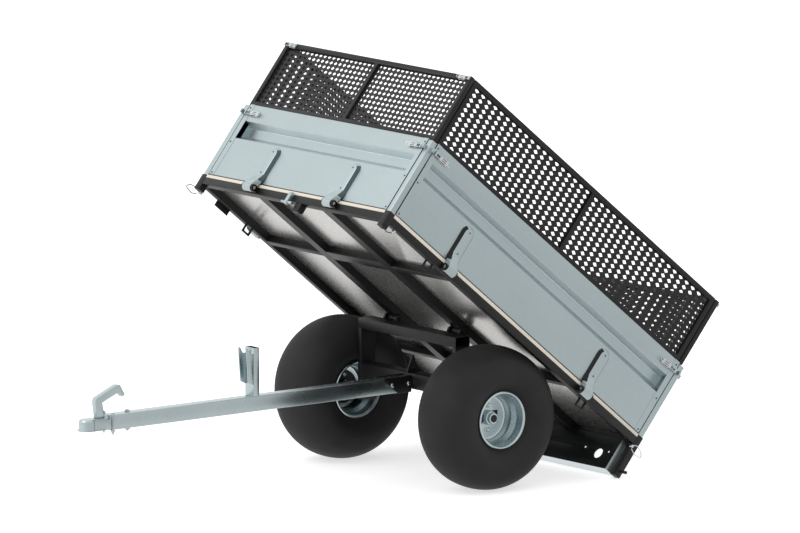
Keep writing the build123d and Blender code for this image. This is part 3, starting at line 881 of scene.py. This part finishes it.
def toggle(scale=1.0):
    """Base plate, lever and rods along +x, and dark plates of painted shade in their slots, along their
    gaps and under the rods.
    """
    loop = (
        (-0.024, 0.0085, -0.006), (-0.036, 0.0115, -0.006),
        (-0.036, 0.0115, 0.006), (-0.024, 0.0085, 0.006),
    )
    bright = [
        block(-0.023, 0.023, 0, 0.0014, -0.013, 0.013),
        block(-0.020, -0.012, 0.0014, 0.0075, -0.0105, 0.0105),
        block(-0.024, 0.026, 0.0075, 0.0092, -0.009, 0.009),
        wire(rounded(loop, 0.004), 0.0012, 6),
    ]
    # Painted shade: thin dark plates in the lever's slots and along the base plate's edges
    dark = [
        block(-0.012, 0.012, 0.0090, 0.0096, 0.0028, 0.0052),
        block(-0.012, 0.012, 0.0090, 0.0096, -0.0052, -0.0028),
        block(0.016, 0.0232, 0.0012, 0.0018, -0.004, 0.004),
        block(-0.0235, 0.0235, 0.0002, 0.0012, -0.0136, -0.0129),
        block(-0.0235, 0.0235, 0.0002, 0.0012, 0.0129, 0.0136),
    ]
    for z in (0.0062, -0.0062):
        bright.append(wire(((-0.014, 0.006, z), (0.030, 0.0068, z), (0.0515, 0.0085, z)), 0.0016, 8))
        bright.append(coil((0.020, 0.0068, z), (0.040, 0.0078, z), 0.0032, 6, 0.0007))
        for x in (-0.0185, 0.0185):
            bright.append(moved(pan_screw(0.0026), Matrix.Translation((x, 0.0014, z * 1.45)) @ OUTWARD))
        # Painted shade: a dark wire beside and below each rod
        dark.append(wire(((0.0185, 0.0050, z * 0.6), (0.0415, 0.0062, z * 0.6)), 0.0011, 5))
    bright.append(block(0.050, 0.0555, 0.0035, 0.0125, -0.009, 0.009))
    resize = Matrix.Scale(scale, 4)
    return [moved(part, resize) for part in bright], [moved(part, resize) for part in dark]


def toggles(reach, out, up, scale=1.0):
    """A mirrored pair of toggles on a side: bright parts, and dark parts of painted shade."""
    bright, dark = [], []
    for sign in (1, -1):
        place = Matrix.Translation((sign * reach, out, up)) @ Matrix.Diagonal((sign, 1, 1, 1))
        some_bright, some_dark = toggle(scale)
        bright += [moved(part, place) for part in some_bright]
        dark += [moved(part, place) for part in some_dark]
    return merge(bright), merge(dark)


LATCH_IN = 0.060
LATCH_UP = 0.303
for side, half in HALVES.items():
    body = f"{side}_side"
    bright, dark = toggles(half - LATCH_IN, 0, LATCH_UP)
    latch = piece(f"{side}_toggle_latches", bright, BRIGHT, body, wall(side))
    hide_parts(f"{side}_latches")
    # Dark plates of painted shade in the latches' slots and gaps
    piece(f"{side}_latch_slots", dark, PLASTIC, body, wall(side))

# Smaller latches where the mesh extensions meet
MESH_LATCH_X = 0.528
MESH_LATCH_UP = MESH_TOP - 0.012
for side in ("front", "rear"):
    body = body_of[f"{side}_mesh_frame"]
    bright, dark = toggles(MESH_LATCH_X, -MESH_BACK, MESH_LATCH_UP, 0.8)
    piece(f"{side}_mesh_latches", bright, BRIGHT, body, wall(side))
    # Dark plates of painted shade in the latches' slots and gaps
    piece(f"{side}_mesh_latch_slots", dark, PLASTIC, body, wall(side))

# Linch pins at the corner sockets, with their wire clips
PIN_U = 0.750
PIN_V = 0.604
PIN_W = -0.050
PIN_LINE = (
    (-0.002, 0), (-0.002, 0.0045), (0, 0.0060), (0.012, 0.0060), (0.014, 0.0045), (0.014, 0),
)
# Loop of a clip: share of its reach along, distance out, height
CLIP_REACH = 0.034
CLIP = (
    (0, 0.609, -0.050), (0.4, 0.616, -0.036), (1.5, 0.614, -0.044), (2.0, 0.612, -0.062),
    (0.9, 0.611, -0.070), (0.15, 0.610, -0.058),
)
pins, clips, front_loops = [], [], []
for end in (1, -1):
    for sign in (1, -1):
        at = Matrix.Translation((end * PIN_U, sign * PIN_V, PIN_W))
        pins.append(moved(lathe(PIN_LINE, 20, False), at @ ALONG_Y))
        loop = [(end * (PIN_U + CLIP_REACH * along), sign * out, up) for along, out, up in CLIP]
        (front_loops if end > 0 else clips).append(wire(rounded(loop, 0.010, 5), 0.0017, 8))
piece("linch_pins", merge(pins), BRIGHT, "bed", BED)
piece("linch_clips", merge(clips), BRIGHT, "bed", BED)
piece("front_loops", merge(front_loops), PLASTIC, "bed", BED)

# Bolts through the drawbar's socket
SOCKET_HALF = 0.031
SOCKET_BOLT_UP = 0.361
socket_bolts = []
for x in (0.128 + AXLE_X, 0.049 + AXLE_X):
    for sign in (1, -1):
        at = turned((1, 0, 0), (0, 0, -sign), (0, sign, 0), x, sign * SOCKET_HALF, SOCKET_BOLT_UP)
        socket_bolts.append(moved(hex_bolt(0.0075, 0.006), at))
piece("drawbar_socket_bolts", merge(socket_bolts), BRIGHT, "chassis")

# Stage: floor, light and camera

FLOOR_HALF = 60.0
FLOOR_Z = -0.0005
floor_mesh = bpy.data.meshes.new("floor_plane")
corners = [(x * FLOOR_HALF, y * FLOOR_HALF, FLOOR_Z) for x, y in ((-1, -1), (1, -1), (1, 1), (-1, 1))]
floor_mesh.from_pydata(corners, [], [(0, 1, 2, 3)])
floor = bpy.data.objects.new("floor_plane", floor_mesh)
bpy.context.collection.objects.link(floor)
floor_look = Nodes("pale_floor")
floor_look.shader.inputs["Roughness"].default_value = 0.9
floor_look.shader.inputs["Specular IOR Level"].default_value = 0.0
floor_look.link(
    floor_look.ramp(floor_look.noise(0.8, 2.0), ((0.3, (0.78, 0.78, 0.78)), (0.7, (0.8, 0.8, 0.8)))),
    floor_look.shader.inputs["Base Color"],
)
# The camera sees the floor lifted to white, with a faint shadow. Polished faces
# see it as the studio's own light, dimmer on the trailer's left
path = floor_look.add("ShaderNodeLightPath")
mirrored = floor_look.add("ShaderNodeMath", operation="MAXIMUM")
floor_look.link(path.outputs["Is Glossy Ray"], mirrored.inputs[0])
floor_look.link(path.outputs["Is Transmission Ray"], mirrored.inputs[1])
lift = floor_look.add("ShaderNodeEmission", Color=(1, 1, 1, 1), Strength=0.62)
lifted = floor_look.add("ShaderNodeAddShader")
floor_look.link(floor_look.shader.outputs[0], lifted.inputs[0])
floor_look.link(lift.outputs[0], lifted.inputs[1])
across = floor_look.add("ShaderNodeSeparateXYZ")
floor_look.link(floor_look.coords(), across.inputs[0])
dimming = floor_look.span(across.outputs["Y"], 1.06, 0.73, -1.2, 1.6)
mirror_glow = floor_look.add("ShaderNodeEmission", Color=(1, 1, 1, 1))
floor_look.link(dimming, mirror_glow.inputs["Strength"])
for_camera = floor_look.add("ShaderNodeMixShader")
floor_look.link(path.outputs["Is Camera Ray"], for_camera.inputs[0])
floor_look.link(floor_look.shader.outputs[0], for_camera.inputs[1])
floor_look.link(lifted.outputs[0], for_camera.inputs[2])
for_mirror = floor_look.add("ShaderNodeMixShader")
floor_look.link(mirrored.outputs[0], for_mirror.inputs[0])
floor_look.link(for_camera.outputs[0], for_mirror.inputs[1])
floor_look.link(mirror_glow.outputs[0], for_mirror.inputs[2])
floor_look.link(for_mirror.outputs[0], floor_look.tree.nodes["Material Output"].inputs["Surface"])
floor_mesh.materials.append(floor_look.mat)

world = bpy.data.worlds.new("studio")
bpy.context.scene.world = world
world.use_nodes = True
tree = world.node_tree
tree.nodes.clear()
output = tree.nodes.new("ShaderNodeOutputWorld")
light_path = tree.nodes.new("ShaderNodeLightPath")
# The studio is white all round, a little dimmer on the trailer's left
direction = tree.nodes.new("ShaderNodeTexCoord")
slope = tree.nodes.new("ShaderNodeVectorMath")
slope.operation = "DOT_PRODUCT"
slope.inputs[1].default_value = (0.03, -0.16, 0.05)
tree.links.new(direction.outputs["Generated"], slope.inputs[0])
level = tree.nodes.new("ShaderNodeMath")
level.operation = "ADD"
level.inputs[1].default_value = 0.90
tree.links.new(slope.outputs["Value"], level.inputs[0])
ambient = tree.nodes.new("ShaderNodeBackground")
ambient.inputs["Color"].default_value = (1.0, 1.0, 1.0, 1)
tree.links.new(level.outputs[0], ambient.inputs["Strength"])
white = tree.nodes.new("ShaderNodeBackground")
white.inputs["Color"].default_value = (1, 1, 1, 1)
white.inputs["Strength"].default_value = 1.0
chooser = tree.nodes.new("ShaderNodeMixShader")
tree.links.new(light_path.outputs["Is Camera Ray"], chooser.inputs[0])
tree.links.new(ambient.outputs[0], chooser.inputs[1])
tree.links.new(white.outputs[0], chooser.inputs[2])
tree.links.new(chooser.outputs[0], output.inputs["Surface"])


KEY_PLACE = Vector((5.0, -1.5, 6.5))
KEY_AIM = Vector((0, 0, 0.7))
key_data = bpy.data.lights.new("key", "AREA")
key_data.shape = "SQUARE"
key_data.size = 3.0
key_data.energy = 60
key = bpy.data.objects.new("key", key_data)
key.location = KEY_PLACE
key.rotation_mode = "QUATERNION"
key.rotation_quaternion = (KEY_AIM - KEY_PLACE).to_track_quat("-Z", "Y")
bpy.context.collection.objects.link(key)

# Camera, almost without perspective, as far off as the photograph's lines ask
AZIMUTH = math.radians(51.956)
ELEVATION = math.radians(9.156)
FAR = 60.0
SENSOR = 36.0
FRAME_WIDE = 3.083
toward = Vector((
    math.cos(ELEVATION) * math.cos(AZIMUTH),
    math.cos(ELEVATION) * math.sin(AZIMUTH),
    math.sin(ELEVATION),
))
right = Vector((-math.sin(AZIMUTH), math.cos(AZIMUTH), 0))
up = toward.cross(right)
aim = Vector((AXLE_X, 0, HUB_Z)) + right * -0.05195 + up * 0.5200
camera_data = bpy.data.cameras.new("camera")
camera_data.sensor_width = SENSOR
camera_data.lens = SENSOR * FAR / FRAME_WIDE
camera_data.clip_end = 500.0
camera = bpy.data.objects.new("camera", camera_data)
bpy.context.collection.objects.link(camera)
camera.matrix_world = basis(aim + toward * FAR, right, up, toward)
bpy.context.scene.camera = camera

bpy.context.scene.view_settings.view_transform = "Standard"
